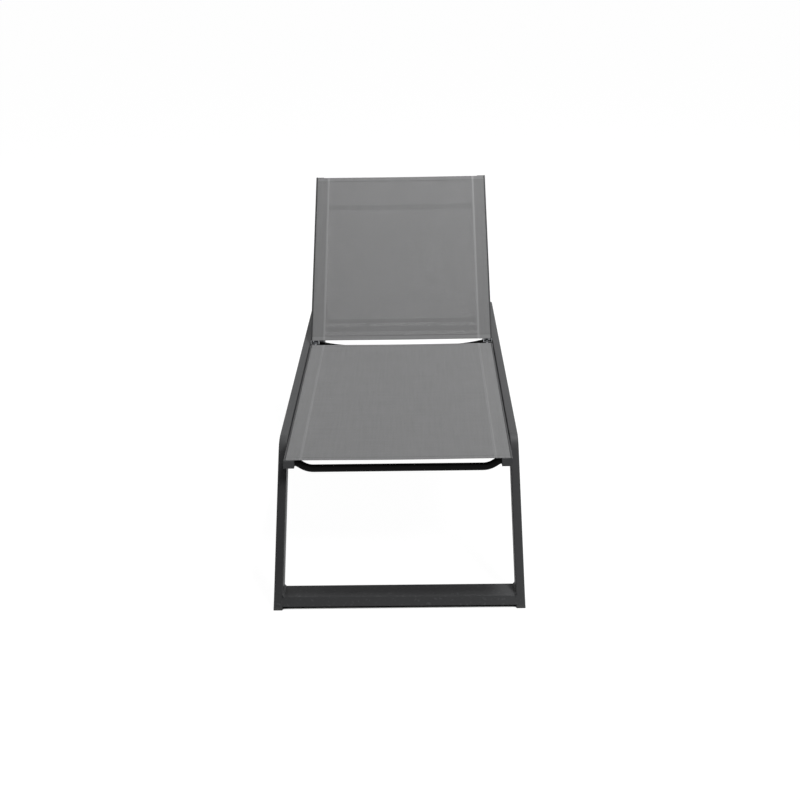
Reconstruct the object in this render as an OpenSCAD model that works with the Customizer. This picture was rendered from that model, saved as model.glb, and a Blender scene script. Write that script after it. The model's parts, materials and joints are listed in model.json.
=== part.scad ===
// Sling chaise lounge: two bent-tube side frames, a fixed seat sling and a reclining back.
// Origin on the floor at the centre of the footprint, +Y towards the head end.

/* [Overall] */
// Width over the side frames
overall_w = 700; // [600:1:800]
// Length over the feet
overall_l = 2096; // [2000:1:2250]
// Height of the side rails' tops above the floor
rail_top_z = 372; // [330:1:420]
// Slope of the legs above the floor, in degrees
leg_angle = 47.3; // [44:0.1:54]

/* [Side frame tube] */
// Width of the side frame tube, across the lounge
tube_w = 25; // [22:0.5:32]
// Depth of the side frame tube
tube_d = 50; // [44:1:60]
// Wall of the side frame tube
tube_wall = 2; // [1.5:0.1:3]
// Radius of the tube's long edges
tube_edge_r = 3; // [2.5:0.5:4]
// Inside radius of the bend from rail to leg
bend_r = 30; // [25:1:45]
// How much a tube shrinks all round where it is bent
bend_ease = 0.05; // [0.04:0.01:0.1]

/* [Floor bars and glides] */
// Height of the flat bar between two legs
bar_h = 20; // [15:1:26]
// Wall of the flat bar
bar_wall = 2; // [1.5:0.1:3]
// Thickness of the glide under each leg
glide_h = 7; // [5:0.5:10]
// Height of the glide's plug inside the leg
glide_plug_h = 22; // [15:1:30]
// Clearance round every plug in its tube
plug_gap = 0.3; // [0.2:0.05:0.5]

/* [Sling rails] */
// Width of the sling rail extrusion
rail_w = 30; // [27:0.5:34]
// Height of the sling rail over its outer lip
rail_h = 25; // [24:0.5:28]
// Gap between a seat rail and the side frame
rail_gap = 2; // [1.5:0.5:5]
// Wall of the sling rail
rail_wall = 2; // [1.5:0.1:2.5]
// Thin webs inside the sling rail
web_t = 1.5; // [1.2:0.1:1.8]
// Width of the lip outside the fabric
lip_w = 5; // [4:0.5:6]
// Height of the lip over the shelf that carries the fabric
lip_step = 1.4; // [1.3:0.1:2]
// Diameter of the round channel for the edge rod
channel_d = 7.6; // [7.5:0.1:8.5]
// Width of the channel's slot
slot_w = 2.2; // [2:0.1:3]
// Height of the lower chamber, which takes tongues and plugs
chamber_h = 11; // [10:0.5:12]
// Thickness of the end caps
cap_t = 3; // [2:0.5:5]
// Depth of an end cap's plug
cap_plug_l = 15; // [10:1:20]

/* [Seat] */
// How far the seat's front edge lies behind the front feet
seat_setback = 191; // [150:1:230]
// Distance from the hinge axis back to the ends of the rear feet
head_l = 867.5; // [840:0.5:920]
// Diameter of the cross tubes under the slings
cross_d = 22; // [18:0.5:24]
// Wall of every round tube
round_wall = 1.8; // [1.2:0.1:2.5]
// Distance from the seat's front end to the front spreader
spreader_setback = 30; // [20:1:60]
// How far the front spreader's middle lies under the rails' undersides
spreader_dip = 13.7; // [8:0.1:20]
// Bend radius of the front spreader
spreader_r = 59; // [45:1:80]
// Slope of the front spreader's ends, in degrees
spreader_slope = 33; // [25:1:36]
// Height of the front spreader's ends above the rails' undersides
spreader_end_h = 9; // [7:0.5:9]

/* [Cross tie] */
// Distance of the cross tie behind the hinge axis
tie_setback = 134.5; // [110:0.5:160]
// Height of the tie's straight middle above the floor
tie_z = 310; // [290:1:316]
// Length of the tie's straight middle
tie_flat_l = 325; // [200:5:450]
// Radius of the tie's rise to the side rails
tie_r = 570; // [400:5:700]

/* [Slings] */
// Thickness of the mesh fabric
sling_t = 1.2; // [0.8:0.1:1.3]
// Diameter of the plastic rod in the fabric's edge pocket
edge_rod_d = 4.6; // [4:0.1:5]
// Thickness of the fabric round the rod
pocket_t = 1.1; // [0.8:0.1:1.1]
// Width of the blank tag behind the back sling
tag_w = 15; // [10:1:25]
// Length of the blank tag
tag_l = 36; // [20:1:50]
// Distance of the tag to the left of the centre line
tag_x = 120; // [60:1:200]
// Distance of the tag above the back sling's lower edge
tag_in = 50; // [30:1:90]

/* [Hinge] */
// Distance of the hinge axis behind the seat rails' ends
hinge_setback = 10.5; // [10.5:0.5:14]
// Diameter of the hinge pin
hinge_pin_d = 8; // [6:0.5:9]
// Radius of the round eye on each tongue
hinge_eye_r = 9.5; // [8:0.5:9.5]
// Thickness of each tongue
tongue_t = 6; // [5:0.5:7]
// Length of a tongue inside its rail
tongue_in_l = 60; // [50:1:90]
// Thickness of the washer between the two tongues
washer_t = 1; // [0.5:0.1:1.2]
// Running clearance round every pin
pin_gap = 0.05; // [0.02:0.01:0.09]
// Clearance beside a washer between moving pieces
side_gap = 0.3; // [0.3:0.05:0.5]

/* [Backrest] */
// Length of the back rails and of the back sling
back_l = 731; // [700:1:760]
// Distance from the hinge axis to the back rails' lower ends
back_start = 24; // [20:0.5:30]
// Slope of the backrest as it stands, in degrees
recline_rest = 40.2; // [35:0.1:45]
// Steepest slope of the backrest, in degrees
recline_max = 61; // [55:1:65]
// Diameter of the two straight bars across the backrest
back_bar_d = 19; // [16:0.5:20]
// Distance of the upper bar below the backrest's top end
top_bar_in = 134; // [100:1:180]
// Distance of the lower bar above the backrest's lower end
low_bar_in = 54; // [40:1:70]

/* [Prop] */
// Length of the prop arms, equal to their pivots' distance from the hinge
prop_l = 243; // [238:0.5:246]
// Downward slope of the racks towards the head end, in degrees
rack_slope = 2.2; // [2.1:0.05:2.4]
// Diameter of the prop rod
rod_d = 16; // [14:0.5:16.5]
// Thickness of the prop arms and of their tabs
arm_t = 5; // [4:0.5:6]
// Width of the prop arms
arm_w = 20; // [19:1:24]
// Radius of the tab's eye
tab_eye_r = 9; // [8.5:0.5:10]
// Diameter of the prop's pivot bolts
prop_pin_d = 8; // [6:0.5:8]

/* [Racks] */
// Number of notches in each rack
notch_count = 4; // [3:1:5]
// Depth of a notch under the rack's crest
notch_depth = 2.5; // [2:0.1:3]
// Clearance between the prop rod and the rack's crest
rack_gap = 0.4; // [0.3:0.05:0.6]
// Height of the toothed comb with its base
rack_h = 9; // [8:0.5:9]
// Thickness of the comb
comb_t = 5; // [4:0.5:6]
// Thickness of the rack's base and web
rack_t = 3; // [2:0.5:3]
// Material before the first and behind the last notch
rack_end = 20; // [15:1:22]

/* [Fasteners] */
// Number of bolts that hold each seat rail
rail_bolt_count = 4; // [3:1:6]
// Diameter of the rail and rack bolts
bolt_d = 6; // [5:0.5:6]
// Head diameter of the rail and rack bolts
bolt_head_d = 11; // [9:0.5:11]
// Head height of the rail and rack bolts
bolt_head_h = 3.3; // [2.5:0.1:4]
// Diameter of the screws that hold the tongues
screw_d = 4; // [3:0.5:4]
// Head diameter of the tongue screws
screw_head_d = 8; // [6:0.5:8.5]
// Head height of the tongue screws
screw_head_h = 2.4; // [1.5:0.1:2.8]

/* [Hidden] */
// Overrun of every cut past the solid that it cuts
cut = 1;
// Facet counts of the round shapes
round_fn = 48;
fine_fn = 24;
hex_fn = 6;

// Length over which a straight stretch runs into its bend
bend_lap = 0.5;

// Side frame: bends and corners
bend_outer = bend_r + tube_d;
half_l = overall_l / 2;
corner_y = half_l - rail_top_z / tan(leg_angle);
bend_y = corner_y - bend_outer * tan(leg_angle / 2);
frame_in_x = overall_w / 2 - tube_w;
leg_depth = tube_d / sin(leg_angle);
leg_l = (rail_top_z - bend_outer * (1 - cos(leg_angle))) / sin(leg_angle) + tube_d;

// Sling rails: faces, heights of the parts of the section
rail_out_x = frame_in_x - rail_gap;
rail_in_x = rail_out_x - rail_w;
rail_bottom_z = rail_top_z - rail_h;
shelf_h = rail_h - lip_step;
rail_mid_h = shelf_h / 2;
channel_x = lip_w + slot_w / 2;
channel_h = shelf_h - web_t - channel_d / 2;
chamber_mid_h = rail_wall + chamber_h / 2;
chamber_w = rail_w - 2 * rail_wall;
upper_x = channel_x + channel_d / 2 + rail_wall;
upper_h = rail_wall + chamber_h + web_t;

// Seat, hinge axis and backrest places
seat_y = seat_setback - half_l;
axis_y = half_l - head_l;
seat_end_y = axis_y - hinge_setback;
seat_l = seat_end_y - seat_y;
axis_z = rail_bottom_z + chamber_mid_h;
spreader_y = seat_y + spreader_setback;
tie_y = axis_y + tie_setback;
back_end = back_start + back_l;

// Slings: half width between the slots
sling_half_w = rail_out_x - channel_x;
pocket_d = edge_rod_d + 2 * pocket_t + plug_gap;
tail_t = slot_w - 2 * plug_gap;

// Hinge: the tongues stand side by side across each end of the axis
seat_tongue_x = rail_in_x + rail_wall;
back_tongue_x = seat_tongue_x + tongue_t + washer_t + 2 * side_gap;
tongue_h = chamber_h - plug_gap;
pin_head_h = 4;
pin_head_d = 13;
pin_end_x = back_tongue_x + tongue_t + side_gap + pin_head_h;
washer_d = 16;
screw_in = 12;
screw_hole_l = 8;

// Prop: pivot, rod and arm places across the lounge
tab_x = rail_in_x - arm_t;
arm_x = tab_x - arm_t - washer_t - 2 * side_gap;
comb_x = rail_in_x + rail_wall + rail_wall * 2;
rod_half_l = comb_x + comb_t + rack_t;
plug_t = 2;
prop_head_h = 4;
prop_head_d = 13;

// Racks: distances along the rack line, which runs through the hinge axis
rod_rest = 2 * prop_l * cos(recline_rest);
rod_first = 2 * prop_l * cos(recline_max);
notch_step = (recline_max - recline_rest) / (notch_count - 1);
rack_from = rod_first - rack_end;
rack_l = rod_rest + rack_end - rack_from;
crest_h = -rod_d / 2 - rack_gap;
web_top_h = -1;
rack_bolt_h = crest_h - rack_gap;
buffer_w = 10;
buffer_l = 20;
buffer_gap = 0.3;

// Bolts of the seat rails
bolt_first_y = -bend_y + rail_w;
bolt_last_y = seat_end_y - tongue_in_l - rail_w;
bolt_step = (bolt_last_y - bolt_first_y) / (rail_bolt_count - 1);
nut_d = 9;
nut_grip_d = 12;
nut_grip_l = 4;
nut_l = 12;
spacer_d = 16;

// Places of the moving pieces

// Children drawn for the right side; side -1 mirrors them to the left.
module on_side(side) {
    if (side < 0) mirror([1, 0, 0]) children();
    else children();
}

// Children drawn for the front; end 1 mirrors them to the rear.
module on_end(end) {
    if (end > 0) mirror([0, 1, 0]) children();
    else children();
}

// Backrest frame: y runs up the backrest from the hinge axis, z out of its face.
module in_back() {
    translate([0, axis_y, axis_z]) rotate([recline_rest, 0, 0]) children();
}

// Prop frame: y runs along the arms from their pivot to the rod.
module in_prop() {
    translate([0, axis_y, axis_z])
        rotate([recline_rest - rack_slope, 0, 0])
            translate([0, prop_l, 0])
                rotate([-2 * recline_rest, 0, 0]) children();
}

// Rack frame: y runs along the rod's straight path, z above it.
module in_rack() {
    translate([0, axis_y, axis_z]) rotate([-rack_slope, 0, 0]) children();
}

// Round bar along X between two places, at y and z
module bar_x(from_x, to_x, r, y = 0, z = 0, fn = round_fn) {
    translate([from_x, y, z]) rotate([0, 90, 0]) cylinder(r = r, h = to_x - from_x, $fn = fn);
}

// Side frames

// Section of the side tube, x over its depth and y over its width, less a wall
module tube_section(less) {
    d = tube_d - 2 * less;
    w = tube_w - 2 * less;
    r = max(tube_edge_r - less, tube_edge_r / 3);
    square([d - 2 * r, w], center = true);
    square([d, w - 2 * r], center = true);
    for (a = [-1, 1], b = [-1, 1])
        translate([a * (d / 2 - r), b * (w / 2 - r)]) circle(r = r, $fn = fine_fn);
}

// Straight stretch along X with its top face on y = 0
module tube_run(l, less) {
    rotate([90, 0, 90]) linear_extrude(l) translate([-tube_d / 2, 0]) tube_section(less);
}

// Half of the bent tube in its own plane: half the rail, the bend and the leg
module half_tube(less) {
    tube_run(bend_y + bend_lap, less);
    translate([bend_y, -bend_outer, 0]) rotate([0, 0, 90 - leg_angle]) {
        rotate_extrude(angle = leg_angle, $fn = 2 * round_fn)
            translate([bend_r + tube_d / 2, 0]) tube_section(less + bend_ease);
        translate([bend_outer, bend_lap, 0]) rotate([0, 0, -90])
            tube_run(leg_l + bend_lap, less);
    }
}

module bent_tube(less) {
    half_tube(less);
    mirror([1, 0, 0]) half_tube(less);
}

module side_frame() {
    color("#3c3e41") difference() {
        translate([frame_in_x + tube_w / 2, 0, rail_top_z]) rotate([90, 0, 90]) difference() {
            bent_tube(0);
            bent_tube(tube_wall);
        }
        translate([frame_in_x - cut, -overall_l, glide_h - overall_l])
            cube([tube_w + 2 * cut, 2 * overall_l, overall_l]);
        for (i = [0:rail_bolt_count - 1])
            bar_x(frame_in_x - cut, frame_in_x + tube_wall + cut, nut_d / 2 + pin_gap,
                bolt_first_y + i * bolt_step, axis_z);
        in_rack() for (y = rack_bolt_places())
            bar_x(frame_in_x - cut, frame_in_x + tube_wall + cut, nut_d / 2 + pin_gap,
                y, rack_bolt_h);
    }
}

// Outline in the YZ plane of what lies between two heights of a front leg,
// less a wall on its sloping faces
module leg_slice(from_z, to_z, less) {
    run = less / sin(leg_angle);
    y = function(z) z / tan(leg_angle) - half_l;
    polygon([
        [y(from_z) + run, from_z], [y(from_z) + leg_depth - run, from_z],
        [y(to_z) + leg_depth - run, to_z], [y(to_z) + run, to_z],
    ]);
}

module floor_bar() {
    color("#3c3e41") translate([-frame_in_x, 0, 0]) rotate([90, 0, 90])
        linear_extrude(2 * frame_in_x) difference() {
            leg_slice(glide_h, glide_h + bar_h, 0);
            leg_slice(glide_h + bar_wall, glide_h + bar_h - bar_wall, bar_wall);
        }
}

module glide() {
    color("#161616") {
        translate([frame_in_x, 0, 0]) rotate([90, 0, 90])
            linear_extrude(tube_w) leg_slice(0, glide_h, 0);
        inset = tube_wall + plug_gap;
        translate([frame_in_x + inset, 0, 0]) rotate([90, 0, 90])
            linear_extrude(tube_w - 2 * inset)
                leg_slice(glide_h, glide_h + glide_plug_h, inset);
    }
}

// Sling rails

// Section of a right-hand rail, x inwards from its outer face and y up from its bottom
module rail_outline() {
    square([rail_w, shelf_h]);
    square([lip_w, rail_h]);
}

module rail_section() {
    difference() {
        rail_outline();
        translate([channel_x, channel_h]) circle(d = channel_d, $fn = round_fn);
        translate([lip_w, channel_h]) square([slot_w, rail_h]);
        translate([rail_wall, rail_wall]) square([chamber_w, chamber_h]);
        translate([upper_x, upper_h])
            square([rail_w - rail_wall - upper_x, shelf_h - web_t - upper_h]);
    }
}

// A right-hand section drawn out along Y, with its bottom at z = 0
module along_rail(from_y, l) {
    translate([rail_out_x, from_y + l, 0]) mirror([1, 0, 0]) rotate([90, 0, 0])
        linear_extrude(l) children();
}

// Seat rail heights are measured from its bottom, back rail heights from the hinge axis.
module in_seat() {
    translate([0, 0, rail_bottom_z]) children();
}

module on_back() {
    in_back() translate([0, 0, -chamber_mid_h]) children();
}

module seat_rail() {
    color("#3c3e41") in_seat() difference() {
        along_rail(seat_y, seat_l) rail_section();
        for (i = [0:rail_bolt_count - 1])
            bar_x(rail_in_x - cut, rail_out_x + cut, bolt_d / 2 + pin_gap,
                bolt_first_y + i * bolt_step, chamber_mid_h);
        for (y = tongue_screw_places())
            screw_hole(seat_tongue_x + tongue_t / 2, seat_end_y - y);
    }
}

module back_rail() {
    color("#3c3e41") on_back() difference() {
        along_rail(back_start, back_l) rail_section();
        for (y = tongue_screw_places())
            screw_hole(back_tongue_x + tongue_t / 2, back_start + y);
    }
}

// End cap outside a rail's end at y = 0, with its plug towards +Y
module rail_cap() {
    color("#2b2c2e") {
        along_rail(-cap_t, cap_t) rail_outline();
        along_rail(0, cap_plug_l)
            translate([rail_wall + plug_gap, rail_wall + plug_gap])
                square([chamber_w - 2 * plug_gap, chamber_h - 2 * plug_gap]);
    }
}

module seat_end_cap() {
    in_seat() translate([0, seat_y, 0]) rail_cap();
}

module back_end_cap() {
    on_back() translate([0, back_end, 0]) mirror([0, 1, 0]) rail_cap();
}

// Slings with their edge pockets, and the plastic rods in them

module edge_rod(from_y, l) {
    color("#202020") along_rail(from_y, l)
        translate([channel_x, channel_h]) circle(d = edge_rod_d, $fn = fine_fn);
}

// Half of a sling's section: the sheet, the tail in the slot and the pocket
module sling_section() {
    translate([channel_x - tail_t / 2, shelf_h])
        square([sling_half_w + tail_t / 2, sling_t]);
    translate([channel_x, channel_h]) difference() {
        union() {
            circle(d = pocket_d, $fn = round_fn);
            translate([-tail_t / 2, 0]) square([tail_t, shelf_h - channel_h]);
        }
        circle(d = edge_rod_d + plug_gap, $fn = round_fn);
    }
}

module sling(from_y, l) {
    color("#85868a") for (side = [-1, 1])
        on_side(side) along_rail(from_y, l) sling_section();
}

module sewn_tag() {
    color("#1d1d1d") on_back()
        translate([-tag_x - tag_w / 2, back_start + tag_in, shelf_h - sling_t / 2])
            cube([tag_w, tag_l, sling_t / 2]);
}

// Cross tubes

// Round tube section for the cross tubes, with its wall thinned by less on both sides
module tube_ring(d, less = 0) {
    difference() {
        circle(d = d - 2 * less, $fn = round_fn);
        circle(d = d - 2 * round_wall + 2 * less, $fn = round_fn);
    }
}

// Arc of round tube in the XZ plane about [x, z], from one angle over a sweep
module tube_arc(x, z, r, from, sweep, d, less = 0) {
    translate([x, 0, z]) rotate([90, 0, 0]) rotate([0, 0, from])
        rotate_extrude(angle = sweep, $fn = 2 * round_fn) translate([r, 0]) tube_ring(d, less);
}

module straight_tube(from_x, to_x, z, d) {
    translate([from_x, 0, z]) rotate([0, 90, 0]) linear_extrude(to_x - from_x) tube_ring(d);
}

module front_spreader() {
    low_z = rail_bottom_z - spreader_dip;
    arc_w = spreader_r * sin(spreader_slope);
    arc_h = spreader_r * (1 - cos(spreader_slope));
    end_w = (spreader_dip + spreader_end_h - arc_h) / tan(spreader_slope);
    start_x = rail_in_x - end_w - arc_w;
    color("#1c1d1e") translate([0, spreader_y, 0]) {
        straight_tube(-start_x - bend_lap, start_x + bend_lap, low_z, cross_d);
        for (side = [-1, 1]) on_side(side) {
            tube_arc(start_x, low_z + spreader_r, spreader_r, -90, spreader_slope, cross_d,
                bend_ease);
            difference() {
                translate([start_x + arc_w, 0, low_z + arc_h])
                    rotate([0, 90 - spreader_slope, 0]) translate([0, 0, -bend_lap])
                        linear_extrude(end_w + 2 * cross_d) tube_ring(cross_d);
                translate([rail_in_x, -cross_d, low_z])
                    cube([rail_in_x, 2 * cross_d, rail_in_x]);
            }
        }
    }
}

module cross_tie() {
    rise = asin((frame_in_x - tie_flat_l / 2) / tie_r);
    color("#1c1d1e") translate([0, tie_y, 0]) {
        straight_tube(-tie_flat_l / 2 - bend_lap, tie_flat_l / 2 + bend_lap, tie_z, cross_d);
        for (side = [-1, 1]) on_side(side) difference() {
            tube_arc(tie_flat_l / 2, tie_z + tie_r, tie_r, -90, 1.2 * rise, cross_d,
                bend_ease);
            translate([frame_in_x, -cross_d, 0])
                cube([tie_r, 2 * cross_d, tie_z + tie_r]);
        }
    }
}

module back_bar(y) {
    color("#34363a") on_back() translate([0, y, 0])
        straight_tube(-rail_in_x, rail_in_x, rail_mid_h, back_bar_d);
}

// Bolts, spacers and blind nuts

// Bolt with its head before x = from, along +X
module bolt_x(from_x, to_x, y, z, d, head_d, head_h) {
    bar_x(from_x - head_h, from_x, head_d / 2, y, z);
    bar_x(from_x, to_x, d / 2, y, z);
}

function rack_bolt_places() = [rack_from + rack_end, rack_from + rack_l - rack_end];
function tongue_screw_places() = [screw_in, tongue_in_l - screw_in];

module seat_rail_bolts() {
    color("#2a2a2c") for (side = [-1, 1], i = [0:rail_bolt_count - 1])
        on_side(side) bolt_x(rail_in_x, frame_in_x + nut_l, bolt_first_y + i * bolt_step,
            axis_z, bolt_d, bolt_head_d, bolt_head_h);
}

module seat_rail_spacers() {
    color("#161616") for (side = [-1, 1], i = [0:rail_bolt_count - 1])
        on_side(side) difference() {
            bar_x(rail_out_x, frame_in_x, spacer_d / 2, bolt_first_y + i * bolt_step, axis_z);
            bar_x(rail_out_x - cut, frame_in_x + cut, bolt_d / 2 + pin_gap,
                bolt_first_y + i * bolt_step, axis_z);
        }
}

// Blind nut: a sleeve through the tube's wall with a collar gripping behind it
module blind_nut(y, z) {
    difference() {
        union() {
            bar_x(frame_in_x, frame_in_x + nut_l, nut_d / 2, y, z);
            bar_x(frame_in_x + tube_wall, frame_in_x + tube_wall + nut_grip_l,
                nut_grip_d / 2, y, z);
        }
        bar_x(frame_in_x - cut, frame_in_x + nut_l + cut, bolt_d / 2 + pin_gap, y, z);
    }
}

module rivet_nuts() {
    color("silver") for (side = [-1, 1]) on_side(side) {
        for (i = [0:rail_bolt_count - 1]) blind_nut(bolt_first_y + i * bolt_step, axis_z);
        in_rack() for (y = rack_bolt_places()) blind_nut(y, rack_bolt_h);
    }
}

// Hinges

// Hole for a tongue screw through a rail's bottom wall
module screw_hole(x, y) {
    translate([x, y, -cut]) cylinder(d = screw_d + 2 * pin_gap, h = rail_wall + 2 * cut,
        $fn = fine_fn);
}

// Tongue in a rail's chamber; y runs from the eye into the rail. Heights from the axis.
module tongue(x, rail_end) {
    l = rail_end + tongue_in_l;
    color("#4a4c50") difference() {
        union() {
            translate([x, 0, -tongue_h / 2]) cube([tongue_t, l, tongue_h]);
            bar_x(x, x + tongue_t, hinge_eye_r);
        }
        bar_x(x - cut, x + tongue_t + cut, hinge_pin_d / 2 + pin_gap);
        for (y = tongue_screw_places())
            translate([x + tongue_t / 2, rail_end + y, -tongue_h / 2 - cut])
                cylinder(d = screw_d + 2 * pin_gap, h = screw_hole_l + cut, $fn = fine_fn);
    }
}

module seat_tongue() {
    translate([0, axis_y, axis_z]) mirror([0, 1, 0]) tongue(seat_tongue_x, hinge_setback);
}

module back_tongue() {
    in_back() tongue(back_tongue_x, back_start);
}

// Screw from below through the rail's bottom wall, heights from the rail's bottom
module tongue_screw(x, y) {
    translate([x, y, -screw_head_h]) cylinder(d = screw_head_d, h = screw_head_h, $fn = fine_fn);
    translate([x, y, 0]) cylinder(d = screw_d, h = rail_wall + screw_hole_l - cut, $fn = fine_fn);
}

module seat_tongue_screws() {
    color("silver") in_seat() for (side = [-1, 1], y = tongue_screw_places())
        on_side(side) tongue_screw(seat_tongue_x + tongue_t / 2, seat_end_y - y);
}

module back_tongue_screws() {
    color("silver") on_back() for (side = [-1, 1], y = tongue_screw_places())
        on_side(side) tongue_screw(back_tongue_x + tongue_t / 2, back_start + y);
}

module hinge_pin() {
    color("silver") bolt_x(seat_tongue_x, pin_end_x, axis_y, axis_z,
        hinge_pin_d, pin_head_d, pin_head_h);
}

module ring_x(from_x, to_x, outer_d, hole_d, fn = round_fn) {
    difference() {
        bar_x(from_x, to_x, outer_d / 2, 0, 0, fn);
        bar_x(from_x - cut, to_x + cut, hole_d / 2 + pin_gap);
    }
}

module hinge_washers() {
    from_x = seat_tongue_x + tongue_t + side_gap;
    color("#e8e8e4") translate([0, axis_y, axis_z]) for (side = [-1, 1])
        on_side(side) ring_x(from_x, from_x + washer_t, washer_d, hinge_pin_d);
}

module hinge_nuts() {
    color("silver") translate([0, axis_y, axis_z]) for (side = [-1, 1])
        on_side(side) ring_x(pin_end_x - pin_head_h, pin_end_x, pin_head_d, hinge_pin_d, hex_fn);
}

// Racks on the side rails and the buffers that carry the flat backrest

module rack() {
    base_h = crest_h - rack_h;
    color("#2f3134") in_rack() difference() {
        union() {
            translate([comb_x, rack_from, base_h]) cube([comb_t, rack_l, rack_h]);
            translate([comb_x, rack_from, base_h])
                cube([frame_in_x - comb_x, rack_l, rack_t]);
            translate([frame_in_x - rack_t, rack_from, base_h])
                cube([rack_t, rack_l, web_top_h - base_h]);
        }
        for (i = [0:notch_count - 1]) {
            r = rod_d / 2 + rack_gap;
            bar_x(comb_x - cut, comb_x + comb_t + cut, r,
                2 * prop_l * cos(recline_rest + i * notch_step), crest_h - notch_depth + r);
        }
        for (y = rack_bolt_places())
            bar_x(frame_in_x - rack_t - cut, frame_in_x + cut, bolt_d / 2 + pin_gap,
                y, rack_bolt_h);
    }
}

module rack_bolts() {
    color("silver") in_rack() for (side = [-1, 1], y = rack_bolt_places())
        on_side(side) bolt_x(frame_in_x - rack_t, frame_in_x + nut_l, y, rack_bolt_h,
            bolt_d, bolt_head_d, bolt_head_h);
}

module flat_buffer() {
    color("#161616") difference() {
        in_rack() translate([frame_in_x - rack_t - buffer_w,
            rack_from + rack_l - 2 * rack_end - buffer_l, crest_h - rack_h + rack_t])
            cube([buffer_w, buffer_l, rail_h]);
        translate([0, 0, rail_bottom_z - buffer_gap]) cube([overall_w, overall_l, rail_h]);
    }
}

// Prop: tabs under the back rails, arms and rod

module prop_tab() {
    color("#3c3e41") in_back() rotate([-rack_slope, 0, 0]) translate([0, prop_l, 0])
        rotate([rack_slope, 0, 0]) difference() {
            union() {
                bar_x(tab_x, rail_in_x, tab_eye_r);
                translate([tab_x, -tab_eye_r, 0])
                    cube([arm_t, 2 * tab_eye_r, rail_h - 2 * rail_wall]);
            }
            bar_x(tab_x - cut, rail_in_x + cut, prop_pin_d / 2 + pin_gap);
        }
}

module prop_arm() {
    color("#3c3e41") in_prop() difference() {
        union() {
            translate([arm_x, 0, -arm_w / 2]) cube([arm_t, prop_l, arm_w]);
            for (y = [0, prop_l]) bar_x(arm_x, arm_x + arm_t, arm_w / 2, y);
        }
        bar_x(arm_x - cut, arm_x + arm_t + cut, prop_pin_d / 2 + pin_gap);
        bar_x(arm_x - cut, arm_x + arm_t + cut, rod_d / 2, prop_l);
    }
}

module prop_rod() {
    color("#34363a") in_prop() translate([0, prop_l, 0])
        straight_tube(-rod_half_l, rod_half_l, 0, rod_d);
}

module prop_rod_plugs() {
    bore_r = rod_d / 2 - round_wall - plug_gap;
    color("#161616") in_prop() for (side = [-1, 1]) on_side(side) {
        bar_x(rod_half_l, rod_half_l + plug_t, rod_d / 2, prop_l);
        bar_x(rod_half_l - cap_plug_l, rod_half_l, bore_r, prop_l);
    }
}

module prop_pivot_bolts() {
    color("silver") in_prop() for (side = [-1, 1]) on_side(side)
        bolt_x(arm_x, rail_in_x - side_gap, 0, 0, prop_pin_d, prop_head_d, prop_head_h);
}

module prop_pivot_washers() {
    color("#e8e8e4") in_prop() for (side = [-1, 1]) on_side(side)
        ring_x(arm_x + arm_t + side_gap, tab_x - side_gap, washer_d, prop_pin_d);
}

on_side(-1) side_frame();  // side_frame_left
on_side(1) side_frame();  // side_frame_right
on_end(-1) floor_bar();  // front_floor_bar
on_end(1) floor_bar();  // rear_floor_bar
on_side(-1) on_end(-1) glide();  // glide_front_left
on_side(1) on_end(-1) glide();  // glide_front_right
on_side(-1) on_end(1) glide();  // glide_rear_left
on_side(1) on_end(1) glide();  // glide_rear_right
on_side(-1) seat_rail();  // seat_rail_left
on_side(1) seat_rail();  // seat_rail_right
on_side(-1) seat_end_cap();  // seat_end_cap_left
on_side(1) seat_end_cap();  // seat_end_cap_right
in_seat() for (side = [-1, 1]) on_side(side) edge_rod(seat_y, seat_l);  // seat_edge_rods
in_seat() sling(seat_y, seat_l);  // seat_sling
front_spreader();
cross_tie();
seat_rail_bolts();
seat_rail_spacers();
rivet_nuts();
on_side(-1) seat_tongue();  // seat_tongue_left
on_side(1) seat_tongue();  // seat_tongue_right
seat_tongue_screws();
on_side(-1) hinge_pin();  // hinge_pin_left
on_side(1) hinge_pin();  // hinge_pin_right
hinge_washers();
hinge_nuts();
on_side(-1) rack();  // rack_left
on_side(1) rack();  // rack_right
rack_bolts();
on_side(-1) flat_buffer();  // flat_buffer_left
on_side(1) flat_buffer();  // flat_buffer_right
on_side(-1) back_rail();  // back_rail_left
on_side(1) back_rail();  // back_rail_right
on_side(-1) back_end_cap();  // back_end_cap_left
on_side(1) back_end_cap();  // back_end_cap_right
on_back() for (side = [-1, 1]) on_side(side) edge_rod(back_start, back_l);  // back_edge_rods
on_back() sling(back_start, back_l);  // back_sling
back_bar(back_end - top_bar_in);  // back_top_bar
back_bar(back_start + low_bar_in);  // back_lower_bar
on_side(-1) back_tongue();  // back_tongue_left
on_side(1) back_tongue();  // back_tongue_right
back_tongue_screws();
sewn_tag();
on_side(-1) prop_tab();  // prop_tab_left
on_side(1) prop_tab();  // prop_tab_right
on_side(-1) prop_arm();  // prop_arm_left
on_side(1) prop_arm();  // prop_arm_right
prop_rod();
prop_rod_plugs();
prop_pivot_bolts();
prop_pivot_washers();
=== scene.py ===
# %% [markdown]
# # A sling chaise lounge
# The real object is a low sun lounger: two bent aluminium tubes as side frames, a flat bar
# between the feet at each end, and two stretched mesh slings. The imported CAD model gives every
# piece its place. This lesson adds what CAD leaves plain: the woven mesh with its hems and
# seams, powder coat, welds, rounded edges, bolts with sockets, and the light.

# %% Imports and units
import json
import math

import bmesh
import bpy
from mathutils import Matrix, Vector


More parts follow.
